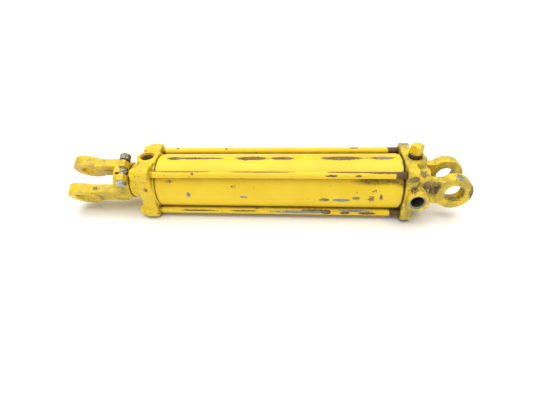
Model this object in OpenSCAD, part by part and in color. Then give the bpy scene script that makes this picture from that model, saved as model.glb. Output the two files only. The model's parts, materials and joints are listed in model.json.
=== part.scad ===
// Double-acting tie-rod hydraulic cylinder with a clevis at each end, shown fully retracted.
// Origin: centre of the pin bore in the end cap's clevis. +X points away from the rod, so the
// rod extends towards -X. Y is the axis of that pin bore, and +Z is up. Millimetres.

/* [Cylinder] */
// Bore of the barrel tube
bore_d = 76.2; // [70:0.1:80]
// Outer diameter of the barrel tube
tube_od = 88.9; // [86:0.1:92]
// Travel of the piston rod
stroke = 355.6; // [200:0.1:600]
// Distance between the two pin bores with the rod fully in
retracted_length = 615.95; // [560:0.05:900]
// Diameter of the piston rod
rod_d = 31.75; // [28:0.05:34]

/* [Clevises] */
// Diameter of the pin bore in each clevis ear
pin_bore_d = 29; // [26:0.1:32]
// Outer diameter of the round eye at the end of each ear
eye_d = 56; // [50:0.5:60]
// Width of the gap between the two ears
clevis_gap = 32; // [28:0.5:34]
// Thickness of an ear at its eye
ear_t = 18.5; // [16:0.5:20]
// Height of the arm that carries an eye
arm_h = 42; // [36:0.5:46]
// Angle that the rod clevis is turned about the rod
clevis_roll = 33.6; // [0:0.1:90]

/* [Tie rods and ports] */
// Diameter of a tie rod
tie_d = 11.1; // [9:0.1:12]
// Distance from the cylinder's axis to a tie rod, along Y and along Z
tie_offset = 36.5; // [36.5:0.1:38]
// Diameter of the tapped hole of a port
port_d = 18.3; // [16:0.1:20]
// Width across the flats of a tie-rod nut
tie_nut_af = 17.5; // [16:0.1:18]

/* [Hidden] */
$fn = 64;

// Clearances
cut = 1;
fit_gap = 0.05;
seat_gap = 0.1;

// Stations along X, from the end cap to the rod clevis
cap_front_x = -77.8;
cap_flange_t = 16;
cap_flange_x = cap_front_x + cap_flange_t;
cap_slot_x = -42;
cap_spigot_l = 6;
head_spigot_l = 12;
head_plate_t = 25.4;
head_seat_l = 3.4;
neck_l = 23.9;
clevis_arm_l = 60;
clevis_hub_l = 28;
clevis_neck_gap = 1.5;
rod_pin_x = -retracted_length;
clevis_slot_x = rod_pin_x + clevis_arm_l;
clevis_rear_x = clevis_slot_x + clevis_hub_l;
neck_front_x = clevis_rear_x + clevis_neck_gap;
head_front_x = neck_front_x + neck_l;
head_rear_x = head_front_x + head_plate_t;
tube_l = cap_front_x - head_rear_x;

// Barrel and piston
bore_r = bore_d / 2;
tube_r = tube_od / 2;
rod_r = rod_d / 2;
stop_gap = 0.3;
piston_rear_x = cap_front_x - cap_spigot_l - stop_gap;
piston_l = tube_l - head_spigot_l - cap_spigot_l - 2 * stop_gap - stroke;
piston_front_x = piston_rear_x - piston_l;
piston_r = bore_r - 0.08;
stud_r = 11;
lock_nut_af = 33.3;
lock_nut_t = 15;
wear_band_w = 8;
wear_band_d = 2.5;
piston_seal_w = 6.4;
piston_seal_d = 5;
land_w = 3.5;

// Plates that the tie rods clamp
lobe_r = 12.7;
plate_half = 46.5;
tie_r = tie_d / 2;
tie_nut_t = 9.5;
tie_end_l = 2.5;
tie_hole_r = tie_r + fit_gap;

// Head
neck_r = 30;
head_seat_r = 45.5;
head_port_x = head_rear_x - 17.7;
head_port_z = 48.2;
head_boss_r = 18;
head_boss_base_z = 20;
head_chamber_r = 21;
head_chamber_x = head_port_x - 9.6;
wiper_w = 6;
wiper_r = 20;
rod_seal_w = 6;
rod_seal_r = 20.6;
bushing_w = 6;
bushing_r = 18.4;
bushing_x = head_chamber_x - 1 - bushing_w;
rod_seal_x = bushing_x - 1.2 - rod_seal_w;

// End cap
cap_port_x = -60;
cap_port_y = -57;
cap_top_z = 47;
cap_boss_r = 18;
cap_boss_front_x = cap_front_x + 2;
cap_body_half = 36;
cap_body_r = 44;
cap_chamber_r = 22;
cap_chamber_x = cap_slot_x - 14;
port_r = port_d / 2;
port_mouth_r = 12.2;
port_mouth_l = 1.6;

// Seals
ring_cord_d = 3.5;
groove_w = 4.2;
groove_d = 3;
backup_w = 1.8;

// Clevises
pin_bore_r = pin_bore_d / 2;
eye_r = eye_d / 2;
ear_in = clevis_gap / 2;
ear_out = ear_in + ear_t;
arm_recess = 3;
arm_out = ear_out - arm_recess;
pin_chamfer = 1.5;
clevis_hub_r = 31;
clevis_thread_r = 14;
clevis_thread_l = 24;
clevis_root_l = 22;
clevis_root_r = 46;
lug_x = 82.5;
lug_z = 38;
lug_r = 9.5;
lug_in = 6.5;
lug_out = 18.5;
split_w = 4;
clamp_r = 5.5;
clamp_af = 15.9;
clamp_head_t = 7.5;
clamp_nut_t = 9.5;
clamp_washer_t = 2.6;
clamp_washer_r = 9;
clamp_end_l = 2;

// Square-head plug
plug_collar_r = 10.7;
plug_collar_l = 8;
plug_head_w = 16;
plug_head_l = 13;
plug_turn = 42;
plug_depth = 14;

// A round bar along X from x0 to x1
module bar_x(x0, x1, r) {
    translate([x0, 0, 0]) rotate([0, 90, 0]) cylinder(r = r, h = x1 - x0);
}

// A ring along X from x0 to x1
module ring_x(x0, x1, r_in, r_out) {
    difference() {
        bar_x(x0, x1, r_out);
        bar_x(x0 - cut, x1 + cut, r_in);
    }
}

// A six-sided bar along X, af across its flats
module hex_x(x0, l, af) {
    translate([x0, 0, 0]) rotate([0, 90, 0]) cylinder(d = af / cos(30), h = l, $fn = 6);
}

// A flattened O-ring around the X axis, between radii r_in and r_out
module o_ring(x, r_in, r_out) {
    translate([x, 0, 0]) rotate([0, 90, 0]) rotate_extrude()
        translate([(r_in + r_out) / 2, 0]) intersection() {
            circle(d = ring_cord_d, $fn = 32);
            square([r_out - r_in, ring_cord_d], center = true);
        }
}

// Puts its children on a tie rod's axis; sy and sz are the signs of its Y and Z
module at_tie(sy, sz) {
    translate([0, sy * tie_offset, sz * tie_offset]) children();
}

// Outline shared by the two clamped plates: a square with a round lobe at each tie rod
module plate_outline() {
    for (sy = [-1, 1], sz = [-1, 1]) translate([sy, sz] * tie_offset) circle(r = lobe_r);
    square([2 * tie_offset, 2 * plate_half], center = true);
    square([2 * plate_half, 2 * tie_offset], center = true);
}

module plate(x0, x1) {
    translate([x0, 0, 0]) rotate([90, 0, 90]) linear_extrude(x1 - x0) plate_outline();
}

module tie_holes(x0, x1) {
    for (sy = [-1, 1], sz = [-1, 1]) at_tie(sy, sz) bar_x(x0, x1, tie_hole_r);
}

// A tapped port with a chamfered mouth: its mouth at z = 0, cut downwards along -Z
module port_cut(l) {
    translate([0, 0, -l]) cylinder(r = port_r, h = l + cut);
    translate([0, 0, -port_mouth_l])
        cylinder(r1 = port_r, r2 = port_mouth_r, h = port_mouth_l);
    cylinder(r = port_mouth_r, h = cut);
}

// The pair of clevis ears about a pin at the origin, with arms that reach root_x towards sx
module ears(sx, root_x, root_h) {
    flare_l = 14;
    for (s = [-1, 1]) {
        translate([0, s * (ear_in + ear_out) / 2, 0]) rotate([90, 0, 0])
            cylinder(r = eye_r, h = ear_t, center = true);
        translate([0, s * (ear_in + arm_out) / 2, 0]) rotate([90, 0, 0])
            linear_extrude(arm_out - ear_in, center = true)
                polygon([[0, arm_h / 2], [0, -arm_h / 2], [sx * (root_x - flare_l), -arm_h / 2],
                         [sx * root_x, -root_h / 2], [sx * root_x, root_h / 2],
                         [sx * (root_x - flare_l), arm_h / 2]]);
    }
}

// The bore for the clevis pin, with a chamfer on the outside of each ear
module pin_bore() {
    for (s = [0, 180]) rotate([90 + s, 0, 0]) {
        cylinder(r = pin_bore_r, h = ear_out + cut);
        translate([0, 0, ear_out - pin_chamfer])
            cylinder(r1 = pin_bore_r, r2 = pin_bore_r + pin_chamfer, h = pin_chamfer);
    }
}

module barrel_tube() {
    color("gold") ring_x(head_rear_x, cap_front_x, bore_r, tube_r);
}

// Casting at the rod end: clamped plate with a raised tube seat, round neck, port, gland bore, spigot
module head_gland() {
    spigot_x = head_rear_x + head_spigot_l;
    boss_x0 = head_port_x - head_boss_r;
    color("gold") difference() {
        union() {
            plate(head_front_x, head_rear_x - head_seat_l);
            bar_x(head_rear_x - head_seat_l - cut, head_rear_x, head_seat_r);
            bar_x(neck_front_x, head_front_x + cut, neck_r);
            bar_x(head_rear_x - cut, spigot_x, bore_r - seat_gap);
            intersection() {
                union() {
                    translate([head_port_x, 0, head_boss_base_z])
                        cylinder(r = head_boss_r, h = head_port_z - head_boss_base_z);
                    translate([boss_x0 + head_boss_r, -head_boss_r, 0])
                        cube([head_boss_r, 2 * head_boss_r, head_port_z - 1]);
                }
                translate([boss_x0, -neck_r, 0])
                    cube([head_rear_x - boss_x0, 2 * neck_r, head_port_z]);
            }
        }
        bar_x(neck_front_x - cut, spigot_x + cut, rod_r + 2 * fit_gap);
        bar_x(neck_front_x - cut, neck_front_x + wiper_w, wiper_r);
        bar_x(rod_seal_x, rod_seal_x + rod_seal_w, rod_seal_r);
        bar_x(bushing_x, bushing_x + bushing_w, bushing_r);
        bar_x(head_chamber_x, spigot_x + cut, head_chamber_r);
        translate([head_port_x, 0, head_port_z]) port_cut(head_port_z - head_chamber_r + 4);
        tie_holes(head_front_x - cut, head_rear_x + cut);
        ring_x(head_rear_x + 2, head_rear_x + 2 + groove_w + backup_w, bore_r - groove_d, tube_r);
    }
}

// Casting at the other end: clamped plate, two oil ports, clevis and tube spigot
module end_cap() {
    spigot_x = cap_front_x - cap_spigot_l;
    groove_x = spigot_x + 0.9;
    color("gold") difference() {
        union() {
            plate(cap_front_x, cap_flange_x);
            bar_x(spigot_x, cap_front_x + cut, bore_r - seat_gap);
            intersection() {
                translate([cap_flange_x - cut, -cap_body_half, -cap_body_half])
                    cube([cap_slot_x - cap_flange_x + cut + 2, 2 * cap_body_half, 2 * cap_body_half]);
                bar_x(cap_flange_x - cut, cap_slot_x + 2, cap_body_r);
            }
            intersection() {
                union() {
                    translate([cap_port_x, cap_port_y, 0]) rotate([-90, 0, 0])
                        cylinder(r = cap_boss_r, h = -cap_port_y);
                    translate([cap_port_x, 0, 0]) cylinder(r = cap_boss_r, h = cap_top_z);
                }
                translate([cap_boss_front_x, -tube_od, -tube_od]) cube(2 * tube_od);
            }
            ears(-1, -cap_slot_x + 4, 2 * cap_body_half - 12);
        }
        translate([cap_slot_x, -ear_in, -tube_r]) cube([-cap_slot_x + tube_r, clevis_gap, tube_od]);
        pin_bore();
        bar_x(spigot_x - cut, cap_chamber_x, cap_chamber_r);
        translate([cap_port_x, cap_port_y, 0]) rotate([90, 0, 0])
            port_cut(-cap_port_y - cap_chamber_r + 4);
        translate([cap_port_x, 0, cap_top_z]) port_cut(cap_top_z - cap_chamber_r + 4);
        tie_holes(cap_front_x - cut, cap_flange_x + cut);
        ring_x(groove_x, groove_x + groove_w, bore_r - groove_d, tube_r);
    }
}

// A rod from its nut at the head to the end of its tapped hole in the cap
module tie_rod(sy, sz) {
    color("goldenrod") at_tie(sy, sz)
        bar_x(head_front_x - tie_nut_t - tie_end_l, cap_flange_x, tie_r);
}

module tie_rod_front_top() tie_rod(-1, 1);
module tie_rod_front_bottom() tie_rod(-1, -1);
module tie_rod_back_top() tie_rod(1, 1);
module tie_rod_back_bottom() tie_rod(1, -1);

module tie_rod_nuts() {
    color("gold") for (sy = [-1, 1], sz = [-1, 1]) at_tie(sy, sz) difference() {
        hex_x(head_front_x - tie_nut_t, tie_nut_t, tie_nut_af);
        bar_x(head_front_x - tie_nut_t - cut, head_front_x + cut, tie_hole_r);
    }
}

module head_o_ring() {
    color("black") o_ring(head_rear_x + 2 + backup_w + groove_w / 2, bore_r - groove_d, bore_r);
}

module head_backup_ring() {
    color("ivory") ring_x(head_rear_x + 2, head_rear_x + 2 + backup_w, bore_r - groove_d, bore_r);
}

module cap_o_ring() {
    color("black") o_ring(cap_front_x - cap_spigot_l + 0.9 + groove_w / 2, bore_r - groove_d, bore_r);
}

module rod_bushing() {
    color("tan") ring_x(bushing_x, bushing_x + bushing_w, rod_r + fit_gap, bushing_r);
}

// U-cup: its open side faces the oil
module rod_seal() {
    lip_w = 2.4;
    color("firebrick") difference() {
        ring_x(rod_seal_x, rod_seal_x + rod_seal_w, rod_r + fit_gap, rod_seal_r);
        ring_x(rod_seal_x + lip_w, rod_seal_x + rod_seal_w + cut,
               rod_r + fit_gap + 1.5, rod_seal_r - 1.5);
    }
}

module rod_wiper() {
    color("black") difference() {
        ring_x(neck_front_x, neck_front_x + wiper_w, rod_r + fit_gap, wiper_r);
        translate([neck_front_x - cut, 0, 0]) rotate([0, 90, 0])
            cylinder(r1 = wiper_r - 1, r2 = rod_r + 0.5, h = 3);
    }
}

// Square-head pipe plug in the port on top of the end cap
module port_plug() {
    color("gold") translate([cap_port_x, 0, cap_top_z]) {
        translate([0, 0, -plug_depth]) cylinder(r = port_r - fit_gap, h = plug_depth + cut);
        cylinder(r = plug_collar_r, h = plug_collar_l);
        translate([0, 0, plug_collar_l]) rotate([0, 0, plug_turn]) intersection() {
            translate([-plug_head_w / 2, -plug_head_w / 2, -cut])
                cube([plug_head_w, plug_head_w, plug_head_l + cut]);
            cylinder(r = plug_head_w * 0.64, h = 3 * plug_head_l, center = true);
        }
    }
}

module piston_groove(x, w, d) {
    ring_x(x, x + w, piston_r - d, piston_r + cut);
}

// Stations of the two grooves in the piston
seal_groove_x = piston_front_x + land_w;
band_groove_x = seal_groove_x + piston_seal_w + land_w;

module piston_seal() {
    color("darkslategray") ring_x(seal_groove_x + fit_gap, seal_groove_x + piston_seal_w - fit_gap,
                                  piston_r - piston_seal_d + fit_gap, bore_r - 0.03);
}

module piston_wear_band() {
    color("saddlebrown") ring_x(band_groove_x + fit_gap, band_groove_x + wear_band_w - fit_gap,
                                piston_r - wear_band_d + fit_gap, bore_r - 0.03);
}

// Chromed rod with a stud for the piston at one end and a thread for the clevis at the other
module piston_rod() {
    chamfer_l = 2;
    color("silver") {
        bar_x(clevis_rear_x, piston_front_x, rod_r);
        bar_x(clevis_rear_x - clevis_thread_l, clevis_rear_x + cut, clevis_thread_r);
        bar_x(piston_front_x - cut, piston_rear_x + lock_nut_t, stud_r);
        translate([piston_rear_x + lock_nut_t, 0, 0]) rotate([0, 90, 0])
            cylinder(r1 = stud_r, r2 = stud_r - chamfer_l, h = chamfer_l);
    }
}

module piston() {
    ring_mid_x = piston_rear_x - piston_l / 2;
    color("dimgray") difference() {
        ring_x(piston_front_x, piston_rear_x, stud_r + fit_gap, piston_r);
        piston_groove(seal_groove_x, piston_seal_w, piston_seal_d);
        piston_groove(band_groove_x, wear_band_w, wear_band_d);
        bar_x(ring_mid_x - groove_w / 2, ring_mid_x + groove_w / 2, stud_r + groove_d);
    }
}

module piston_o_ring() {
    color("black") o_ring(piston_rear_x - piston_l / 2, stud_r, stud_r + groove_d);
}

module piston_lock_nut() {
    color("slategray") difference() {
        hex_x(piston_rear_x, lock_nut_t, lock_nut_af);
        bar_x(piston_rear_x - cut, piston_rear_x + lock_nut_t + cut, stud_r + fit_gap);
    }
}

// Puts its children at the rod clevis: the pin at the origin, +X towards the barrel, Y along the pin
module at_rod_clevis() {
    translate([rod_pin_x, 0, 0]) rotate([clevis_roll, 0, 0]) children();
}

module rod_clevis() {
    slot_l = clevis_slot_x - rod_pin_x;
    rear_l = slot_l + clevis_hub_l;
    color("gold") at_rod_clevis() difference() {
        union() {
            intersection() {
                ears(1, slot_l + clevis_root_l - cut, arm_h);
                union() {
                    bar_x(-tube_r, slot_l, clevis_root_r);
                    translate([slot_l - cut, 0, 0]) rotate([0, 90, 0])
                        cylinder(r1 = clevis_root_r - cut, r2 = clevis_hub_r, h = clevis_root_l);
                }
            }
            bar_x(slot_l, rear_l, clevis_hub_r);
            intersection() {
                for (s = [-1, 1]) translate([lug_x, s * (lug_in + lug_out) / 2, 0]) {
                    translate([0, 0, lug_z]) rotate([90, 0, 0])
                        cylinder(r = lug_r, h = lug_out - lug_in, center = true);
                    translate([-lug_r, -(lug_out - lug_in) / 2, 0])
                        cube([2 * lug_r, lug_out - lug_in, lug_z]);
                }
                translate([0, -tube_r, 0]) cube([rear_l, tube_od, tube_od]);
            }
        }
        translate([-tube_r, -ear_in, -tube_r]) cube([tube_r + slot_l, clevis_gap, tube_od]);
        pin_bore();
        bar_x(slot_l - cut, rear_l + cut, clevis_thread_r + fit_gap);
        translate([slot_l + 4, -split_w / 2, 0]) cube([clevis_hub_l, split_w, tube_od]);
        translate([lug_x, 0, lug_z]) rotate([90, 0, 0])
            cylinder(r = clamp_r + 0.2, h = tube_od, center = true);
    }
}

// Puts its children on the clamp bolt's axis, with +X along the bolt from its head to its nut
module at_clamp() {
    at_rod_clevis() translate([lug_x, 0, lug_z]) rotate([0, 0, 90]) children();
}

module clamp_bolt() {
    color("lightgray") at_clamp() {
        hex_x(-lug_out - clamp_head_t, clamp_head_t, clamp_af);
        bar_x(-lug_out - cut, lug_out + clamp_washer_t + clamp_nut_t + clamp_end_l, clamp_r);
    }
}

module clamp_nut() {
    color("lightgray") at_clamp() difference() {
        hex_x(lug_out + clamp_washer_t, clamp_nut_t, clamp_af);
        bar_x(0, tube_od, clamp_r + fit_gap);
    }
}

module clamp_lock_washer() {
    gap_w = 1.5;
    color("silver") at_clamp() difference() {
        ring_x(lug_out, lug_out + clamp_washer_t, clamp_r + fit_gap, clamp_washer_r);
        translate([0, -gap_w / 2, 0]) cube([tube_od, gap_w, tube_od]);
    }
}

barrel_tube();
head_gland();
end_cap();
tie_rod_front_top();
tie_rod_front_bottom();
tie_rod_back_top();
tie_rod_back_bottom();
tie_rod_nuts();
head_o_ring();
head_backup_ring();
cap_o_ring();
rod_bushing();
rod_seal();
rod_wiper();
port_plug();
piston_seal();
piston_wear_band();
piston_rod();
piston();
piston_o_ring();
piston_lock_nut();
rod_clevis();
clamp_bolt();
clamp_nut();
clamp_lock_washer();
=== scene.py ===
"""Looks of the tie-rod hydraulic cylinder: cast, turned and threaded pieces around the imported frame.

Row frame, in metres: origin at the end cap's pin bore, the rod towards -X, the cap's pin along Y, +Z up.
"""

import json
import math

import bpy
import numpy as np
from mathutils import Matrix, Vector


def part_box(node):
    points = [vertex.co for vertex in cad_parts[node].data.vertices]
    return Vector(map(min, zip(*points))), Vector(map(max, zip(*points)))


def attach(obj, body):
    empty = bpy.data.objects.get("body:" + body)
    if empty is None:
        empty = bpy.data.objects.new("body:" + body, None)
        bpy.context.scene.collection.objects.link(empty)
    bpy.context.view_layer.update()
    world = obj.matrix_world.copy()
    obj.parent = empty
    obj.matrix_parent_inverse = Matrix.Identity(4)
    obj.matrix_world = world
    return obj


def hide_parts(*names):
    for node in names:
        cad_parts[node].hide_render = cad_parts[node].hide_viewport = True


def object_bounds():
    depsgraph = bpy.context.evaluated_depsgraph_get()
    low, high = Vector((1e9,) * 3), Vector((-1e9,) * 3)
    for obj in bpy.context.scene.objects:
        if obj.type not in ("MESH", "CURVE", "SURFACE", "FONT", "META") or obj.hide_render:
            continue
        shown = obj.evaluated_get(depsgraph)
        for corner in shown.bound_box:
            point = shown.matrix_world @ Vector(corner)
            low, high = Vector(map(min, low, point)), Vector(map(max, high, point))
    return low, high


MM = 0.001
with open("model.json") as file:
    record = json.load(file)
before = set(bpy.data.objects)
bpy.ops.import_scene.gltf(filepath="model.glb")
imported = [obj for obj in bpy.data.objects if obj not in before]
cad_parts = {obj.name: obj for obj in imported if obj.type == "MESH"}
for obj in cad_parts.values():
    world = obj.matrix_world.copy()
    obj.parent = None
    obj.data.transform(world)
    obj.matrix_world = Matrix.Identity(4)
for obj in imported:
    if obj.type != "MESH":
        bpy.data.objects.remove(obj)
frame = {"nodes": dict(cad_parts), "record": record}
cad_nodes = frame["nodes"]
cad_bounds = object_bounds()
mounts = {m["name"]: m for m in frame["record"]["mounts"]}

# ---------------------------------------------------------------- places, from the frame
TIE_NODES = ["tie_rod_front_top", "tie_rod_front_bottom", "tie_rod_back_top", "tie_rod_back_bottom"]
tube_lo, tube_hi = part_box("barrel_tube")
head_lo, head_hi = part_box("head_gland")
cap_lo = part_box("end_cap")[0]
nuts_lo, nuts_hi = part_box("tie_rod_nuts")
rod_lo, rod_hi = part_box("piston_rod")
clevis_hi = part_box("rod_clevis")[1]
plug_lo, plug_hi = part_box("port_plug")
TUBE_R = tube_hi.z
TUBE_BORE_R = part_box("cap_o_ring")[1].z
ROD_R = rod_hi.z
PIN_R = mounts["cap_pin_bore"]["dims"]["r_mm"] * MM
PORT_R = mounts["head_port"]["dims"]["r_mm"] * MM
EAR_OUT = mounts["cap_pin_bore"]["dims"]["length_mm"] * MM / 2
ROD_PIN = Vector(mounts["rod_pin_bore"]["pos_m"])
roll_axis = mounts["rod_pin_bore"]["axis"]
CLEVIS_ROLL = math.atan2(roll_axis[2], roll_axis[1])
CLEVIS = Matrix.Translation(ROD_PIN) @ Matrix.Rotation(CLEVIS_ROLL, 4, "X")
HEAD_PORT = Vector(mounts["head_port"]["pos_m"])
CAP_PORT = Vector(mounts["cap_port"]["pos_m"])
CLEVIS_L = clevis_hi.x - ROD_PIN.x
TIE_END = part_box(TIE_NODES[0])[1].x

# Sizes, and the plug's turn in degrees, as in the part's source
EAR_GAP = 32 * MM
PIN_CHAMFER = 1.5 * MM
SLOT_L = 60 * MM
LUG_X = 82.5 * MM
LUG_Z = 38 * MM
LUG_OUT = 18.5 * MM
LUG_IN = 6.5 * MM
CLEVIS_THREAD_R = 14 * MM
HEAD_PORT_Z = 48.2 * MM
HEAD_SEAT_L = 3.4 * MM
CAP_PORT_Y = -57 * MM
CAP_TOP_Z = 47 * MM
PLUG_TURN = 42

# Thread pitches
PIPE_PITCH = 1.81 * MM
TIE_PITCH = 1.8 * MM

# How far most fills stop short of a casting's faces, and how far below its face a port's mouth is cut
FILL_SHORT = 0.05 * MM
PORT_SINK = 0.35 * MM


# ---------------------------------------------------------------- meshes
def make_mesh(name, points, faces, matrix=Matrix.Identity(4)):
    mesh = bpy.data.meshes.new(name)
    mesh.from_pydata([tuple(p) for p in points], [], faces)
    mesh.transform(matrix)
    mesh.validate()
    mesh.update()
    return mesh


def make_object(name, mesh):
    thing = bpy.data.objects.new(name, mesh)
    bpy.context.scene.collection.objects.link(thing)
    return thing


def along_x(x, y, z):
    """Moves a bar made along +X, with its origin to (x, y, z)."""
    return Matrix.Translation((x, y, z))


def along_z(x, y, z):
    """Turns a bar made along +X so that it points up, from (x, y, z)."""
    return Matrix.Translation((x, y, z)) @ Matrix.Rotation(-math.pi / 2, 4, "Y")


def along_y(x, y, z, sign=1):
    """Turns a bar made along +X so that it points along Y, from (x, y, z)."""
    return Matrix.Translation((x, y, z)) @ Matrix.Rotation(sign * math.pi / 2, 4, "Z")


def turned(name, rows, segments, inner_r=None, matrix=Matrix.Identity(4)):
    """A closed solid around the X axis. rows are (x, radius), where a radius is a number or a
    function of the angle. With inner_r it is a ring with a plain bore."""
    angles = np.linspace(0, 2 * math.pi, segments, endpoint=False)
    points = []
    for x, radius in rows:
        r = radius(angles) if callable(radius) else np.full(segments, radius)
        points.extend(zip(np.full(segments, x), r * np.cos(angles), r * np.sin(angles)))
    count = len(rows)
    loops = [[j * segments + i for i in range(segments)] for j in range(count)]
    if inner_r is not None:
        for x in (rows[-1][0], rows[0][0]):
            loops.append([len(points) + i for i in range(segments)])
            points.extend(zip(np.full(segments, x), inner_r * np.cos(angles), inner_r * np.sin(angles)))
        loops.append(loops[0])
    faces = []
    for low, high in zip(loops[:-1], loops[1:]):
        for i in range(segments):
            k = (i + 1) % segments
            faces.append((low[i], low[k], high[k], high[i]))
    if inner_r is None:
        for loop, x, flip in ((loops[0], rows[0][0], True), (loops[-1], rows[-1][0], False)):
            centre = len(points)
            points.append((x, 0, 0))
            for i in range(segments):
                k = (i + 1) % segments
                a, b = (loop[k], loop[i]) if flip else (loop[i], loop[k])
                faces.append((a, b, centre))
    return make_mesh(name, points, faces, matrix)


def box_mesh(name, low, high, matrix=Matrix.Identity(4)):
    (x0, y0, z0), (x1, y1, z1) = low, high
    points = [(x, y, z) for x in (x0, x1) for y in (y0, y1) for z in (z0, z1)]
    faces = [(0, 1, 3, 2), (4, 6, 7, 5), (0, 4, 5, 1), (2, 3, 7, 6), (0, 2, 6, 4), (1, 5, 7, 3)]
    return make_mesh(name, points, faces, matrix)


def joined(name, meshes):
    """One mesh that holds all the given meshes, as separate shells."""
    points, faces = [], []
    for mesh in meshes:
        start = len(points)
        points.extend(tuple(v.co) for v in mesh.vertices)
        faces.extend(tuple(start + i for i in p.vertices) for p in mesh.polygons)
    return make_mesh(name, points, faces)


def with_modifiers(thing):
    """The object's mesh with its modifiers applied; the object is then removed."""
    depsgraph = bpy.context.evaluated_depsgraph_get()
    mesh = bpy.data.meshes.new_from_object(thing.evaluated_get(depsgraph))
    bpy.data.objects.remove(thing)
    return mesh


def thread(r_out, depth, pitch, x, fade):
    """A radius function for one row of a helical V thread."""
    def radius(angles):
        phase = (x / pitch - angles / (2 * math.pi)) % 1.0
        wave = np.clip((np.abs(2 * phase - 1) - 0.12) / 0.76, 0, 1)
        return r_out - fade * depth * wave
    return radius


def thread_rows(x0, x1, r0, r1, depth, pitch, steps=8, fade_l=0.0):
    """Rows of a thread from x0 to x1, with its outer radius going from r0 to r1."""
    count = max(2, int(abs(x1 - x0) / pitch * steps))
    rows = []
    for j in range(count + 1):
        t = j / count
        x = x0 + (x1 - x0) * t
        near_end = min(abs(x - x0), abs(x1 - x))
        fade = 1.0 if fade_l == 0 else min(1.0, near_end / fade_l)
        rows.append((x, thread(r0 + (r1 - r0) * t, depth, pitch, x, fade)))
    return rows


def even_rows(x0, x1, r, step):
    count = max(1, round(abs(x1 - x0) / step))
    return [(x0 + (x1 - x0) * j / count, r) for j in range(count + 1)]


def polygon_r(sides, flats, cone_r, corner_r):
    """Radius of a polygon of that width across flats, cut by a cone and rounded at its corners."""
    def radius(angles):
        part = (angles % (2 * math.pi / sides)) - math.pi / sides
        return np.minimum(np.minimum(flats / 2 / np.cos(part), cone_r), corner_r)
    return radius


def head_rows(x0, x1, sides, flats, corner_r, chamfer0, chamfer1, step=0.35 * MM):
    """Rows of a hex or square head from x0 to x1, chamfered by a cone at the ends asked for."""
    rows = []
    crown_r = flats / 2 * 0.955
    slope = 1.9
    uncut = 1.0
    for x, _ in even_rows(x0, x1, 0, step):
        reach0 = crown_r + (x - x0) * slope if chamfer0 else uncut
        reach1 = crown_r + (x1 - x) * slope if chamfer1 else uncut
        rows.append((x, polygon_r(sides, flats, min(reach0, reach1), corner_r)))
    return rows


def neighbour_mean(values, edges, count, rounds):
    degree = np.bincount(edges.ravel(), minlength=count).astype(float)
    degree[degree == 0] = 1
    for _ in range(rounds):
        total = np.bincount(edges[:, 0], values[edges[:, 1]], count)
        total += np.bincount(edges[:, 1], values[edges[:, 0]], count)
        values = 0.5 * values + 0.5 * total / degree
    return values


def convexity(mesh, rounds):
    """How far each point stands out from its neighbours: above 0 on an edge, below 0 in a corner."""
    count = len(mesh.vertices)
    points = np.zeros(count * 3)
    mesh.vertices.foreach_get("co", points)
    points = points.reshape(-1, 3)
    normals = np.zeros(count * 3)
    mesh.vertex_normals.foreach_get("vector", normals)
    normals = normals.reshape(-1, 3)
    edges = np.zeros(len(mesh.edges) * 2, int)
    mesh.edges.foreach_get("vertices", edges)
    edges = edges.reshape(-1, 2)
    step = points[edges[:, 1]] - points[edges[:, 0]]
    length = np.linalg.norm(step, axis=1) + 1e-9
    drop0 = -(step * normals[edges[:, 0]]).sum(1) / length
    drop1 = (step * normals[edges[:, 1]]).sum(1) / length
    total = np.bincount(edges[:, 0], drop0, count) + np.bincount(edges[:, 1], drop1, count)
    degree = np.bincount(edges.ravel(), minlength=count)
    degree[degree == 0] = 1
    return neighbour_mean(total / degree, edges, count, rounds), points


PATCH_GAIN = 1.25


def set_wear(thing, patches, edge, base=0.0, rounds=3, edge_full=0.16):
    """Stores how bare and how bright each point is, and how dark it is painted: the dark layer is painted
    shade in concave corners, plus patches, some of painted shade and some of soiling. A patch is (centre,
    half sizes, amount, layer): an ellipsoid that adds to the layer "bare", "bright" or "grime"."""
    mesh = thing.data
    curve, points = convexity(mesh, rounds)
    layers = {
        "bare": base + edge * np.clip(curve / edge_full, 0, 1.2),
        "bright": base * 0.6 + edge * 0.55 * np.clip(curve / edge_full, 0, 1.2),
        # Painted shade: points in concave corners start dark.
        "shade_and_grime": np.clip(-curve / edge_full, 0, 1),
    }
    for centre, half, amount, layer in patches:
        away = np.linalg.norm((points - np.array(centre)) / np.array(half), axis=1)
        layers[layer] = layers[layer] + PATCH_GAIN * amount * np.clip(1.6 * (1.2 - away), 0, 1)
    for name, values in layers.items():
        stored = mesh.attributes.new(name, "FLOAT", "POINT")
        stored.data.foreach_set("value", values.astype(np.float32))


def smooth(mesh, degrees):
    mesh.shade_smooth()
    mesh.set_sharp_from_angle(angle=math.radians(degrees))


def finished(name, mesh, material, body, nodes, degrees=38):
    """Puts a mesh in the scene as a piece of the object that stands for CAD nodes."""
    thing = make_object(name, mesh)
    mesh.materials.clear()
    mesh.materials.append(material)
    smooth(mesh, degrees)
    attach(thing, body)
    if nodes:
        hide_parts(*nodes)
    return thing


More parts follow.
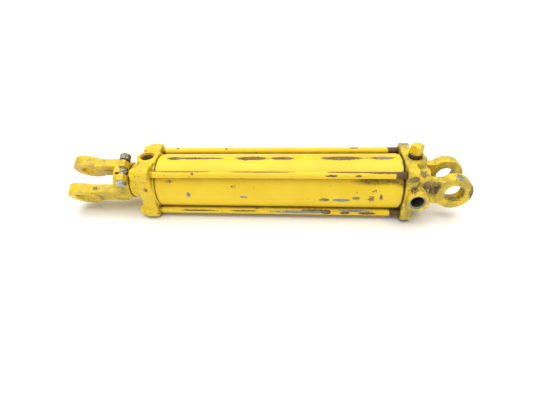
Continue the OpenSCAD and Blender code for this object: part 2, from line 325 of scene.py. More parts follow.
def cast(name, node, fills, cutters, rounds=7, grain=0.28 * MM):
    """A sand-cast body from a CAD node: holes filled, corners blended, skin roughened, then cut."""
    rough = make_object(name + "_rough", joined(name + "_rough", [cad_nodes[node].data] + fills))
    remesh = rough.modifiers.new("blend", "REMESH")
    remesh.mode = "VOXEL"
    remesh.voxel_size = 1.0 * MM
    relax = rough.modifiers.new("relax", "SMOOTH")
    relax.factor = 0.5
    relax.iterations = rounds
    for scale, strength in ((9 * MM, grain), (2.6 * MM, grain * 0.45)):
        clouds = bpy.data.textures.new(f"{name}_{scale}", "CLOUDS")
        clouds.noise_scale = scale
        clouds.noise_depth = 2
        skin = rough.modifiers.new("skin", "DISPLACE")
        skin.texture = clouds
        skin.texture_coords = "LOCAL"
        skin.strength = strength
        skin.mid_level = 0.56
    tool = make_object(name + "_tool", joined(name + "_tool", cutters))
    machining = rough.modifiers.new("machining", "BOOLEAN")
    machining.operation = "DIFFERENCE"
    machining.solver = "EXACT"
    machining.use_self = True
    machining.object = tool
    mesh = with_modifiers(rough)
    bpy.data.objects.remove(tool)
    mesh.name = name
    return mesh


# ---------------------------------------------------------------- materials
class Shader:
    """A small helper that adds linked nodes to a new material."""

    def __init__(self, name):
        self.material = bpy.data.materials.new(name)
        self.material.use_nodes = True
        self.tree = self.material.node_tree
        self.tree.nodes.clear()
        self.where = self.add("ShaderNodeTexCoord").outputs["Object"]

    def add(self, kind, inputs=None, **properties):
        node = self.tree.nodes.new(kind)
        for key, value in properties.items():
            setattr(node, key, value)
        for key, value in (inputs or {}).items():
            if isinstance(value, bpy.types.NodeSocket):
                self.tree.links.new(value, node.inputs[key])
            else:
                node.inputs[key].default_value = value
        return node

    def math(self, operation, a, b, clamp=False):
        return self.add("ShaderNodeMath", {0: a, 1: b}, operation=operation, use_clamp=clamp).outputs[0]

    def noise(self, size, detail, rough=0.55, where=None):
        """Noise from 0 to 1 whose main features are about size across, in metres."""
        inputs = {"Vector": where or self.where, "Scale": 1 / size, "Detail": detail, "Roughness": rough}
        return self.add("ShaderNodeTexNoise", inputs).outputs["Fac"]

    def step(self, value, low, high, out_low=0.0, out_high=1.0):
        """A smooth step of value from low to high."""
        inputs = {"Value": value, "From Min": low, "From Max": high, "To Min": out_low, "To Max": out_high}
        kind = "SMOOTHSTEP" if (out_low, out_high) == (0.0, 1.0) else "LINEAR"
        return self.add("ShaderNodeMapRange", inputs, interpolation_type=kind).outputs["Result"]

    def mix(self, share, a, b):
        node = self.add("ShaderNodeMix", data_type="RGBA")
        for key, value in (("Factor", share), ("A", a), ("B", b)):
            kind = "VALUE" if key == "Factor" else "RGBA"
            socket = next(s for s in node.inputs if s.name == key and s.type == kind)
            if isinstance(value, bpy.types.NodeSocket):
                self.tree.links.new(value, socket)
            else:
                socket.default_value = value if kind == "VALUE" else (*value, 1.0)
        return next(s for s in node.outputs if s.type == "RGBA")

    def stored(self, name):
        return self.add("ShaderNodeAttribute", attribute_name=name).outputs["Fac"]

    def band(self, value, low, high, soft):
        """1 where value lies between low and high, with soft ends."""
        return self.math("MULTIPLY", self.step(value, low - soft, low + soft),
                         self.step(value, high + soft, high - soft))

    def around(self, centre, axis):
        """The distance from a line through centre along an axis, and the place along that line."""
        kind = "ShaderNodeVectorMath"
        offset = self.add(kind, {0: self.where, 1: tuple(centre)}, operation="SUBTRACT").outputs[0]
        flat = {"X": (0.0, 1.0, 1.0), "Y": (1.0, 0.0, 1.0), "Z": (1.0, 1.0, 0.0)}[axis]
        side = self.add(kind, {0: offset, 1: flat}, operation="MULTIPLY").outputs[0]
        radius = self.add(kind, {0: side}, operation="LENGTH").outputs["Value"]
        return radius, self.add("ShaderNodeSeparateXYZ", {0: offset}).outputs[axis]

    def stretched(self, sx, sy, sz):
        """Object coordinates scaled per axis, for streaks."""
        return self.add("ShaderNodeMapping", {"Vector": self.where, "Scale": (sx, sy, sz)}).outputs["Vector"]

    def close(self, colour, roughness, height, metallic=0.0, specular=0.5):
        """The finished material. Height is the bump, in millimetres."""
        bump = self.add("ShaderNodeBump", {"Height": height, "Strength": 1.0, "Distance": MM})
        surface = {"Base Color": colour, "Roughness": roughness, "Metallic": metallic,
                   "Normal": bump.outputs["Normal"], "Specular IOR Level": specular}
        shader = self.add("ShaderNodeBsdfPrincipled", surface)
        self.add("ShaderNodeOutputMaterial", {"Surface": shader.outputs[0]})
        return self.material


YELLOW = (0.87, 0.62, 0.018)
YELLOW_DEEP = (0.82, 0.56, 0.013)
YELLOW_CHALKY = (0.88, 0.69, 0.07)
PRIMER = (0.22, 0.12, 0.055)
OXIDE = (0.09, 0.05, 0.025)
MAUVE = (0.32, 0.22, 0.15)
STEEL = (0.30, 0.34, 0.37)
# Near black brown: painted shade in corners, at the tube seams and in the cap's port bore, and soiling laid
# on by patches.
SHADE_AND_DIRT = (0.030, 0.018, 0.009)
RUST = (0.42, 0.13, 0.035)
RUST_RING = (0.62, 0.20, 0.05)
TEAL_RING = (0.27, 0.36, 0.32)
# Olive for painted shade inside the head's port.
PORT_SHADE_OLIVE = (0.24, 0.20, 0.05)
OLIVE_FILM = (0.27, 0.23, 0.075)
TEAL_STEEL = (0.24, 0.31, 0.30)
BROWN_OLIVE = (0.26, 0.17, 0.065)
PIT = (0.34, 0.22, 0.03)
ZINC = (0.58, 0.60, 0.50)


def worn_paint(name, grain, chips, corner_shade_by, film=0.0, rings=(), under_tone=MAUVE, metal_tone=STEEL):
    """Enamel over primer on steel or iron. It goes to primer where "bare" is high, to metal where
    "bright" is high, and it goes near black as painted shade in corners, creases and gaps, and where the
    stored layer of painted shade and soiling is high. Each ring is a bare band or a band of painted shade:
    (centre, axis, inner radius, outer radius, half length, colour)."""
    s = Shader(name)
    fine = s.noise(2.2 * MM, 5.0, 0.62)
    coarse = s.noise(16 * MM, 3.0)
    broad = s.noise(70 * MM, 2.0)
    grit = s.noise(0.7 * MM, 2.0, 0.6)
    ragged_by = 1.5
    ragged = s.math("ADD", s.math("MULTIPLY", s.math("SUBTRACT", fine, 0.5), 1.15 * ragged_by),
                    s.math("MULTIPLY", s.math("SUBTRACT", coarse, 0.5), 0.75 * ragged_by))
    bare = s.step(s.math("ADD", s.stored("bare"), ragged), 0.50, 0.60)
    bright = s.step(s.math("ADD", s.stored("bright"), ragged), 0.56, 0.66)
    cells = s.add("ShaderNodeTexVoronoi", {"Vector": s.where, "Scale": 1 / (15 * MM), "Randomness": 1.0})
    chip_size = s.step(coarse, 0.42, 0.75, 0.0, 0.16 * chips)
    torn = s.math("MULTIPLY", s.math("SUBTRACT", fine, 0.5), 0.22)
    chip_edge = s.math("ADD", cells.outputs["Distance"], torn)
    chip = s.math("LESS_THAN", chip_edge, chip_size)
    lost = s.math("MAXIMUM", s.math("MAXIMUM", bare, bright), chip)

    paint = s.mix(s.step(broad, 0.35, 0.65), YELLOW, YELLOW_DEEP)
    paint = s.mix(s.math("MULTIPLY", s.step(coarse, 0.55, 0.8), 0.35), paint, YELLOW_CHALKY)
    under = s.mix(s.step(fine, 0.35, 0.65), PRIMER, OXIDE)
    under = s.mix(s.math("MULTIPLY", s.step(coarse, 0.40, 0.70), 0.75), under, under_tone)
    metal = s.mix(s.step(grit, 0.35, 0.75), metal_tone, tuple(0.45 * part for part in metal_tone))
    colour = s.mix(lost, paint, under)
    colour = s.mix(bright, colour, metal)
    pit = s.math("MULTIPLY", s.step(s.noise(2.6 * MM, 2.0, 0.5), 0.62, 0.68), min(1.0, 0.75 * grain))
    colour = s.mix(pit, colour, PIT)
    smear = s.math("MULTIPLY", s.step(s.noise(24 * MM, 6.0, 0.7), 0.36, 0.64), film)
    colour = s.mix(smear, colour, OLIVE_FILM)

    # Painted shade: the paint goes near black where ambient occlusion finds a corner, crease or gap between
    # parts, and where the stored shade layer is high; noise breaks it up.
    shade = s.add("ShaderNodeAmbientOcclusion", {"Distance": 9 * MM}, samples=6).outputs["AO"]
    corner = s.step(shade, 0.82, 0.30)
    dirt_and_shade = s.math("ADD", s.math("MULTIPLY", corner, 0.75 * corner_shade_by), s.math("MULTIPLY", s.stored("shade_and_grime"), 0.9))
    dirt_and_shade = s.math("MULTIPLY", dirt_and_shade, s.step(s.math("ADD", fine, coarse), 0.70, 1.25, 0.35, 1.1), clamp=True)
    colour = s.mix(s.math("MULTIPLY", dirt_and_shade, 0.88), colour, SHADE_AND_DIRT)
    for centre, axis, r_in, r_out, reach, tone in rings:
        radius, place = s.around(centre, axis)
        place = s.math("ADD", place, s.math("MULTIPLY", s.math("SUBTRACT", fine, 0.5), 2.0 * MM))
        ring = s.math("MULTIPLY", s.band(radius, r_in, r_out, 0.35 * MM),
                      s.band(place, -reach, reach, 0.4 * MM))
        darker = tuple(0.6 * channel for channel in tone)
        colour = s.mix(ring, colour, s.mix(s.step(fine, 0.3, 0.7), tone, darker))

    rough = s.step(coarse, 0.3, 0.7, 0.34, 0.48)
    rough = s.math("ADD", rough, s.math("MULTIPLY", lost, 0.22))
    rough = s.math("ADD", rough, s.math("MULTIPLY", dirt_and_shade, 0.2), clamp=True)
    height = s.math("MULTIPLY", s.math("SUBTRACT", 1.0, lost), 0.16)
    height = s.math("ADD", height, s.math("MULTIPLY", grit, 0.10 * grain))
    height = s.math("ADD", height, s.math("MULTIPLY", s.noise(1.6 * MM, 2.0), 0.22 * grain))
    height = s.math("ADD", height, s.math("MULTIPLY", s.noise(5 * MM, 2.0), 0.10))
    height = s.math("SUBTRACT", height, s.math("MULTIPLY", pit, 0.25))
    return s.close(colour, rough, height, metallic=s.math("MULTIPLY", bright, 0.45), specular=0.35)


def bare_metal(name, light, dark, rough_low, rough_high, rust=0.0, streak=(1, 1, 1), height_by=0.05,
               metallic=0.9):
    """Uncoated or plated metal with scratches along one way, stains and a share of rust."""
    s = Shader(name)
    lines = s.noise(1.1 * MM, 3.0, 0.6, s.stretched(*streak))
    stain = s.noise(7 * MM, 4.0, 0.6)
    colour = s.mix(s.step(stain, 0.35, 0.7), light, dark)
    rusty = s.step(s.math("ADD", stain, s.math("MULTIPLY", s.math("SUBTRACT", lines, 0.5), 0.4)),
                   0.80 - 0.55 * rust, 0.95 - 0.5 * rust)
    rusty = s.math("MULTIPLY", rusty, min(1.0, rust * 2.5))
    colour = s.mix(rusty, colour, s.mix(s.step(lines, 0.35, 0.65), RUST, OXIDE))
    rough = s.step(lines, 0.3, 0.7, rough_low, rough_high)
    rough = s.math("ADD", rough, s.math("MULTIPLY", rusty, 0.35), clamp=True)
    height = s.math("MULTIPLY", lines, height_by)
    shine = s.math("MULTIPLY", s.math("SUBTRACT", 1.0, rusty), metallic)
    return s.close(colour, rough, height, metallic=shine)


def soft_plastic(name, light, dark, rough):
    """Rubber or plastic of a seal: mottled, with a fine grain as bump."""
    s = Shader(name)
    speck = s.noise(1.2 * MM, 4.0, 0.6)
    cloud = s.noise(9 * MM, 3.0)
    colour = s.mix(s.step(cloud, 0.3, 0.7), light, dark)
    roughness = s.step(speck, 0.3, 0.7, rough - 0.08, rough + 0.1)
    return s.close(colour, roughness, s.math("MULTIPLY", speck, 0.06))


SEAM_R = (TUBE_R - 4 * MM, TUBE_R + 4 * MM)
PORT_BARE_R = PORT_R + 3.0 * MM
# The seam rings darken the tube at each end with painted shade, where it goes into the head and the cap.
TUBE_SEAMS = [((tube_lo.x, 0, 0), "X", *SEAM_R, 1.3 * MM, SHADE_AND_DIRT),
              ((tube_hi.x, 0, 0), "X", *SEAM_R, 2.4 * MM, SHADE_AND_DIRT)]
HEAD_MOUTH = (HEAD_PORT.x, 0, HEAD_PORT_Z)
# Inside the head's port the olive, and inside the cap's port the near black, are painted shade in the bores;
# the rusty and teal rings at their mouths are bare metal.
HEAD_RINGS = [(HEAD_MOUTH, "Z", PORT_R + 0.6 * MM, PORT_BARE_R, 2 * MM, RUST_RING),
              (HEAD_MOUTH, "Z", -1 * MM, PORT_R + 0.6 * MM, 30 * MM, PORT_SHADE_OLIVE)]
CAP_MOUTH = (CAP_PORT.x, CAP_PORT_Y, 0)
CAP_RINGS = [(CAP_MOUTH, "Y", PORT_R + 0.8 * MM, PORT_BARE_R, 2 * MM, TEAL_RING),
             (CAP_MOUTH, "Y", -1 * MM, PORT_R + 0.8 * MM, 30 * MM, SHADE_AND_DIRT)]
TUBE_PAINT = worn_paint("tube_enamel", grain=0.10, chips=0.35, corner_shade_by=0.9, rings=TUBE_SEAMS)
HEAD_PAINT = worn_paint("head_enamel", grain=1.0, chips=0.6, corner_shade_by=1.3, film=0.12, rings=HEAD_RINGS)
CLEVIS_PAINT = worn_paint("clevis_enamel", grain=0.8, chips=0.7, corner_shade_by=1.3, film=0.5)
CAP_PAINT = worn_paint("cap_enamel", grain=1.0, chips=0.9, corner_shade_by=1.6, film=0.7, rings=CAP_RINGS)
NUT_PAINT = worn_paint("nut_enamel", grain=0.4, chips=0.6, corner_shade_by=1.0)
PLUG_PAINT = worn_paint("plug_enamel", grain=0.4, chips=0.5, corner_shade_by=1.2, metal_tone=TEAL_STEEL)
ROD_PAINT = worn_paint("tie_rod_enamel", grain=0.15, chips=1.1, corner_shade_by=0.9, under_tone=BROWN_OLIVE)
ZINC_PAINTED = worn_paint("overpainted_zinc", grain=0.15, chips=0.8, corner_shade_by=1.0, metal_tone=ZINC)
CHROME = bare_metal("hard_chrome", (0.78, 0.79, 0.80), (0.66, 0.67, 0.68), 0.07, 0.16, streak=(0.05, 1, 1),
                    height_by=0.006, metallic=1.0)
IRON = bare_metal("machined_iron", (0.30, 0.30, 0.31), (0.16, 0.16, 0.17), 0.28, 0.5, rust=0.05)
NITRILE = soft_plastic("nitrile", (0.022, 0.022, 0.022), (0.045, 0.043, 0.040), 0.45)
URETHANE = soft_plastic("urethane", (0.33, 0.045, 0.030), (0.24, 0.030, 0.022), 0.35)
NYLON = soft_plastic("filled_nylon", (0.50, 0.42, 0.26), (0.40, 0.33, 0.20), 0.5)


# ---------------------------------------------------------------- barrel
def on_tube(x_mm, degrees, half_l_mm, half_w_mm, amount, layer):
    """A patch on the tube, for wear or for painted shade. The angle is 0 on the near side (-Y) and 90 on top.
    """
    angle = math.radians(degrees)
    centre = (x_mm * MM, -TUBE_R * math.cos(angle), TUBE_R * math.sin(angle))
    across = half_w_mm * MM
    return (centre, (half_l_mm * MM, across, across), amount, layer)


def make_barrel():
    patches = []
    top = 90
    for x0, x1, width, amount in ((-464, -434, 5.5, 0.80), (-452, -376, 3.8, 0.78), (-400, -358, 2.4, 0.66),
                                  (-348, -290, 7, 0.80), (-290, -246, 5.5, 0.74), (-210, -136, 6.5, 0.80),
                                  (-134, -88, 5, 0.74)):
        patches.append(on_tube((x0 + x1) / 2, top, (x1 - x0) / 2, width, amount, "bare"))
    for x, angle, length, width, amount in ((-402, 92, 9, 1.8, 0.62), (-108, 90, 16, 3.0, 0.62),
                                            (-421, 3, 4, 6, 0.66), (-330, -3, 9, 3.4, 0.75),
                                            (-172, -9, 16, 4.0, 0.72)):
        patches.append(on_tube(x, angle, length, width, amount, "bright"))
    for x, angle, length, width, amount in ((-200, -8, 10, 4.5, 0.60), (-150, 12, 4, 3, 0.55),
                                            (-150, -3, 8, 4, 0.48), (-127, -4, 6, 7, 0.56),
                                            (-112, 0, 4, 8, 0.50), (-120, 14, 9, 3, 0.45),
                                            (-345, 22, 8, 3, 0.42), (-452, 32, 9, 3, 0.42)):
        patches.append(on_tube(x, angle, length, width, amount, "bare"))
    # Painted shadow: a dark band on the tube just below the near top tie rod, along two stretches.
    patches.append(on_tube(-122, 34, 34, 6, 0.85, "shade_and_grime"))
    patches.append(on_tube(tube_hi.x / MM - 1, 34, 18, 8, 0.8, "shade_and_grime"))
    # Painted shade: a dark band round each end of the tube, where it goes into the head and the cap.
    for angle in range(0, 360, 24):
        patches.append(on_tube(tube_lo.x / MM, angle, 3, 12, 0.5, "shade_and_grime"))
        patches.append(on_tube(tube_hi.x / MM, angle, 4, 12, 0.9, "shade_and_grime"))

    def skin(x):
        """The drawn tube isn't quite round or straight, and carries a few shallow dents."""
        def radius(angles):
            wave = 0.10 * np.sin(2 * angles + x * 9) + 0.05 * np.sin(3 * angles - x * 23)
            dents = 0.0
            for dent_x, dent_angle, size, depth in ((-0.128, 182, 14, 0.5), (-0.335, 176, 12, 0.35),
                                                    (-0.250, 100, 18, 0.3)):
                gap = (angles - math.radians(dent_angle) + math.pi) % (2 * math.pi) - math.pi
                far = ((x - dent_x) / (size * MM)) ** 2 + (gap * TUBE_R / (size * MM)) ** 2
                dents = dents + depth * np.exp(-far)
            return TUBE_R - 0.16 * MM + (wave - dents) * MM
        return radius

    rows = [(tube_lo.x, TUBE_R - 0.8 * MM)]
    rows += [(x, skin(x)) for x, _ in even_rows(tube_lo.x + 0.6 * MM, tube_hi.x - 0.6 * MM, 0, 1.6 * MM)]
    rows += [(tube_hi.x, TUBE_R - 0.8 * MM)]
    mesh = turned("barrel_shell", rows, 224, inner_r=TUBE_BORE_R)
    barrel = finished("barrel_shell", mesh, TUBE_PAINT, "barrel", ["barrel_tube"])
    set_wear(barrel, patches, edge=0.0)


# ---------------------------------------------------------------- tie rods and their nuts
def make_tie_rods():
    # A patch is (x, half length, degrees up from the near side, half width, amount, layer), lengths in mm
    wear = {
        "tie_rod_front_top": [(-430, 60, 92, 2.0, 0.74, "bare"), (-300, 60, 92, 2.0, 0.74, "bare"),
                              (-165, 40, 90, 2.4, 0.76, "bare"), (-112, 30, 80, 3.2, 0.84, "bare"),
                              (-409, 3, 45, 2, 0.8, "bare"), (-190, 10, 20, 2.2, 0.7, "bare"),
                              (-150, 6, 20, 2, 0.7, "bare")],
        "tie_rod_front_bottom": [(-410, 42, 30, 1.8, 0.60, "bare"), (-330, 26, 30, 1.6, 0.62, "bare"),
                                 (-215, 30, 40, 4.0, 0.72, "bare"), (-240, 70, 25, 3.0, 0.64, "bright"),
                                 (-150, 34, 55, 2.6, 0.70, "bright"), (-165, 9, 20, 4, 0.74, "bare"),
                                 (-130, 16, 12, 3, 0.70, "bare"), (-195, 8, 20, 4, 0.8, "bare")],
        "tie_rod_back_top": [(-452, 3, 80, 2, 0.7, "bare"), (-366, 2, 70, 2, 0.7, "bare"),
                             (-150, 9, 80, 2.4, 0.6, "bare")],
        "tie_rod_back_bottom": [(-390, 30, 60, 2.5, 0.62, "bare"), (-200, 60, 90, 2.5, 0.66, "bare")],
    }
    thread_l = 17 * MM
    nut_back = 9.5 * MM
    for name in TIE_NODES:
        lo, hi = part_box(name)
        y, z, r = (lo.y + hi.y) / 2, (lo.z + hi.z) / 2, (hi.z - lo.z) / 2
        front_thread = nuts_hi.x + 2 * MM
        rows = [(lo.x, r * 0.80), (lo.x + 0.6 * MM, r * 0.86)]
        rows += thread_rows(lo.x + 0.7 * MM, front_thread, r, r, 0.75 * MM, TIE_PITCH)
        rows += even_rows(front_thread + 0.5 * MM, tube_hi.x - thread_l, r, 1.6 * MM)
        rows += thread_rows(tube_hi.x - thread_l + 0.4 * MM, tube_hi.x + 2 * MM, r, r, 0.62 * MM, TIE_PITCH,
                            fade_l=1.5 * MM)
        rows += even_rows(tube_hi.x + 3 * MM, hi.x, r - 0.02 * MM, 4 * MM)
        mesh = turned(name + "_bar", rows, 40, matrix=along_x(0, y, z))
        bar = finished(name + "_bar", mesh, ROD_PAINT, "barrel", [name])
        patches = []
        for x, half_l, degrees, half_w, amount, layer in wear[name]:
            angle = math.radians(degrees)
            centre = (x * MM, y - r * math.cos(angle), z + r * math.sin(angle))
            patches.append((centre, (half_l * MM, half_w * MM, half_w * MM), amount, layer))
        end = (tube_hi.x - thread_l / 2 + 1 * MM, y, z)
        patches.append((end, (thread_l * 0.56, 4 * r, 4 * r), 1.5, "bare"))
        patches.append((end, (thread_l * 0.56, 4 * r, 4 * r), 0.22, "shade_and_grime"))
        # Painted shade where the rod goes into the head.
        patches.append(((tube_lo.x, y, z), (3 * MM, 3 * r, 3 * r), 0.6, "shade_and_grime"))
        set_wear(bar, patches, edge=0.15)
        make_tie_nut(name, y, z, r, nut_back)


def make_tie_nut(name, y, z, tie_r, thickness):
    flats = 17.4 * MM
    rows = head_rows(nuts_lo.x, nuts_lo.x + thickness, 6, flats, flats * 0.563, True, False)
    turn = Matrix.Rotation(TIE_NODES.index(name) * 0.7, 4, "X")
    mesh = turned(name + "_nut", rows, 96, inner_r=tie_r + 0.05 * MM, matrix=along_x(0, y, z) @ turn)
    nut = finished(name + "_nut", mesh, NUT_PAINT, "barrel", ["tie_rod_nuts"], 30)
    set_wear(nut, [], edge=0.5, rounds=1, edge_full=0.2)


# ---------------------------------------------------------------- castings
def pipe_port(name, matrix, depth):
    """Cutter for a tapped pipe port whose mouth is at the origin, going in along -X."""
    mouth_r = PORT_R + 1.6 * MM
    rows = [(-depth, PORT_R * 0.9), (-depth + 1 * MM, PORT_R)]
    rows += thread_rows(-depth + 8 * MM, -1.6 * MM, PORT_R + 0.7 * MM, mouth_r - 0.4 * MM, 0.9 * MM,
                        PIPE_PITCH, 6)
    rows += [(-1.5 * MM, mouth_r - 0.2 * MM), (-0.5 * MM, mouth_r + 1.0 * MM), (4 * MM, mouth_r + 1.1 * MM)]
    return turned(name, rows, 56, matrix=matrix)


def pin_cutters(matrix):
    """Cutters for a clevis pin bore along Y, with a chamfer on the outside of each ear."""
    past = 3 * MM
    wide_r = PIN_R + PIN_CHAMFER + past
    rows = [(-EAR_OUT - past, wide_r), (-EAR_OUT + PIN_CHAMFER, PIN_R),
            (EAR_OUT - PIN_CHAMFER, PIN_R), (EAR_OUT + past, wide_r)]
    return turned("pin", rows, 96, matrix=matrix @ along_y(0, 0, 0))


def pin_fills(matrix):
    """Bars that close the pin hole in each ear, so that it is cut afresh after the skin is roughened."""
    fill_r = PIN_R + 2.5 * MM
    half = (EAR_OUT - EAR_GAP / 2) / 2 - FILL_SHORT
    fills = []
    for side in (-1, 1):
        middle = side * (EAR_GAP / 2 + EAR_OUT) / 2
        rows = [(-half, fill_r), (half, fill_r)]
        fills.append(turned("fill", rows, 48, matrix=matrix @ along_y(0, middle, 0)))
    return fills


def flare(x0, x1, r0, r1, matrix=Matrix.Identity(4)):
    return turned("flare", [(x0, r0), (x1, r1)], 64, matrix=matrix)


def tie_bars(x0, x1, gap):
    """A bar at each tie rod, thicker than the rod by gap all round: it fills or cuts the rod's hole."""
    bars = []
    for name in TIE_NODES:
        lo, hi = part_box(name)
        r = (hi.z - lo.z) / 2 + gap
        place = along_x(0, (lo.y + hi.y) / 2, (lo.z + hi.z) / 2)
        bars.append(turned("tie", [(x0, r), (x1, r)], 40, matrix=place))
    return bars


def make_head():
    wiper_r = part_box("rod_wiper")[1].z
    wiper_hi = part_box("rod_wiper")[1].x
    fill_r = 22 * MM
    port_l = 24 * MM
    boss_r = 12.4 * MM
    bore_r = ROD_R + 0.15 * MM
    past = 5 * MM
    port_floor = HEAD_PORT_Z - port_l - FILL_SHORT
    fills = [flare(head_lo.x + FILL_SHORT, head_hi.x - 0.3 * MM, fill_r, fill_r),
             flare(nuts_hi.x - 5 * MM, nuts_hi.x + 1 * MM, 30 * MM, 36 * MM),
             flare(0, port_l, boss_r, boss_r, along_z(HEAD_PORT.x, 0, port_floor))]
    fills += tie_bars(nuts_hi.x + FILL_SHORT, tube_lo.x - HEAD_SEAT_L - FILL_SHORT, 1 * MM)
    cutters = [pipe_port("port", along_z(HEAD_PORT.x, 0, HEAD_PORT_Z - PORT_SINK), port_l),
               turned("bore", [(head_lo.x - past, bore_r), (head_hi.x + past, bore_r)], 96),
               turned("wiper", [(head_lo.x - past, wiper_r), (wiper_hi, wiper_r)], 96)]
    cutters += tie_bars(nuts_hi.x - 9 * MM, tube_lo.x + 9 * MM, 0.25 * MM)
    mesh = cast("head_casting", "head_gland", fills, cutters, rounds=5, grain=0.36 * MM)
    head = finished("head_casting", mesh, HEAD_PAINT, "barrel", ["head_gland"])
    # The first patch is painted shade in the crease on the near side where the neck meets the flange, below
    # the near top nut; the second is wear.
    patches = [((nuts_hi.x - 1 * MM, -34 * MM, 20 * MM), (3 * MM, 5 * MM, 12 * MM), 0.5, "shade_and_grime"),
               ((nuts_hi.x + 12 * MM, -48 * MM, 12 * MM), (6 * MM, 5 * MM, 5 * MM), 0.5, "bare")]
    set_wear(head, patches, edge=0.42)


def make_cap():
    fill_r = 23 * MM
    fill_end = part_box("piston_lock_nut")[1].x + 12 * MM
    boss_l = 22 * MM
    boss_r = 12.6 * MM
    top_floor = CAP_TOP_Z - boss_l - FILL_SHORT
    fills = [flare(cap_lo.x + 0.2 * MM, fill_end, fill_r, fill_r),
             flare(0, boss_l, boss_r, boss_r, along_y(CAP_PORT.x, CAP_PORT_Y + FILL_SHORT, 0)),
             flare(0, boss_l, boss_r, boss_r, along_z(CAP_PORT.x, 0, top_floor))]
    fills += pin_fills(Matrix.Identity(4)) + tie_bars(tube_hi.x + FILL_SHORT, TIE_END - FILL_SHORT, 1 * MM)
    plug_seat_r = (plug_hi.y - plug_lo.y) / 2 - 0.1 * MM
    cutters = [pipe_port("port", along_y(CAP_PORT.x, CAP_PORT_Y + PORT_SINK, 0, -1), 26 * MM),
               turned("seat", [(-16 * MM, PORT_R), (5 * MM, plug_seat_r + 0.5 * MM)], 64,
                      matrix=along_z(CAP_PORT.x, 0, CAP_TOP_Z)),
               pin_cutters(Matrix.Identity(4))]
    cutters += tie_bars(tube_hi.x - 9 * MM, TIE_END + 9 * MM, 0.15 * MM)
    mesh = cast("cap_casting", "end_cap", fills, cutters, rounds=13, grain=0.36 * MM)
    cap = finished("cap_casting", mesh, CAP_PAINT, "barrel", ["end_cap"])
    # The darkening patches: on the inner face of the far ear, in the slot between the ears, painted shade; on
    # the near side, darker spots among the worn ones.
    patches = [((27 * MM, -34 * MM, 6 * MM), (8 * MM, 10 * MM, 20 * MM), 0.60, "bare"),
               ((4 * MM, -26 * MM, 27 * MM), (8 * MM, 9 * MM, 4 * MM), 0.6, "bright"),
               ((-46 * MM, -34 * MM, 14 * MM), (7 * MM, 14 * MM, 12 * MM), 0.62, "bare"),
               ((-50 * MM, -30 * MM, 34 * MM), (9 * MM, 9 * MM, 6 * MM), 0.60, "bare"),
               ((-52 * MM, -46 * MM, 12 * MM), (12 * MM, 10 * MM, 10 * MM), 0.50, "shade_and_grime"),
               ((-66 * MM, -48 * MM, 14 * MM), (8 * MM, 8 * MM, 12 * MM), 0.55, "bare"),
               ((-70 * MM, 37 * MM, 49 * MM), (8 * MM, 8 * MM, 4 * MM), 0.50, "bright"),
               ((-68 * MM, -38 * MM, -48 * MM), (10 * MM, 12 * MM, 4 * MM), 0.65, "bright"),
               ((-44 * MM, -6 * MM, 42 * MM), (6 * MM, 8 * MM, 6 * MM), 0.45, "bare"),
               ((-69 * MM, -50 * MM, 37 * MM), (9 * MM, 5 * MM, 9 * MM), 0.62, "bare"),
               ((-31 * MM, -32 * MM, 7 * MM), (12 * MM, 4 * MM, 12 * MM), 0.60, "bare"),
               ((-31 * MM, -32 * MM, 7 * MM), (14 * MM, 5 * MM, 14 * MM), 0.45, "shade_and_grime"),
               ((-18 * MM, 16 * MM, 6 * MM), (26 * MM, 5 * MM, 22 * MM), 0.34, "shade_and_grime"),
               ((-42 * MM, -48 * MM, 4 * MM), (8 * MM, 9 * MM, 14 * MM), 0.62, "bare")]
    set_wear(cap, patches, edge=0.55)


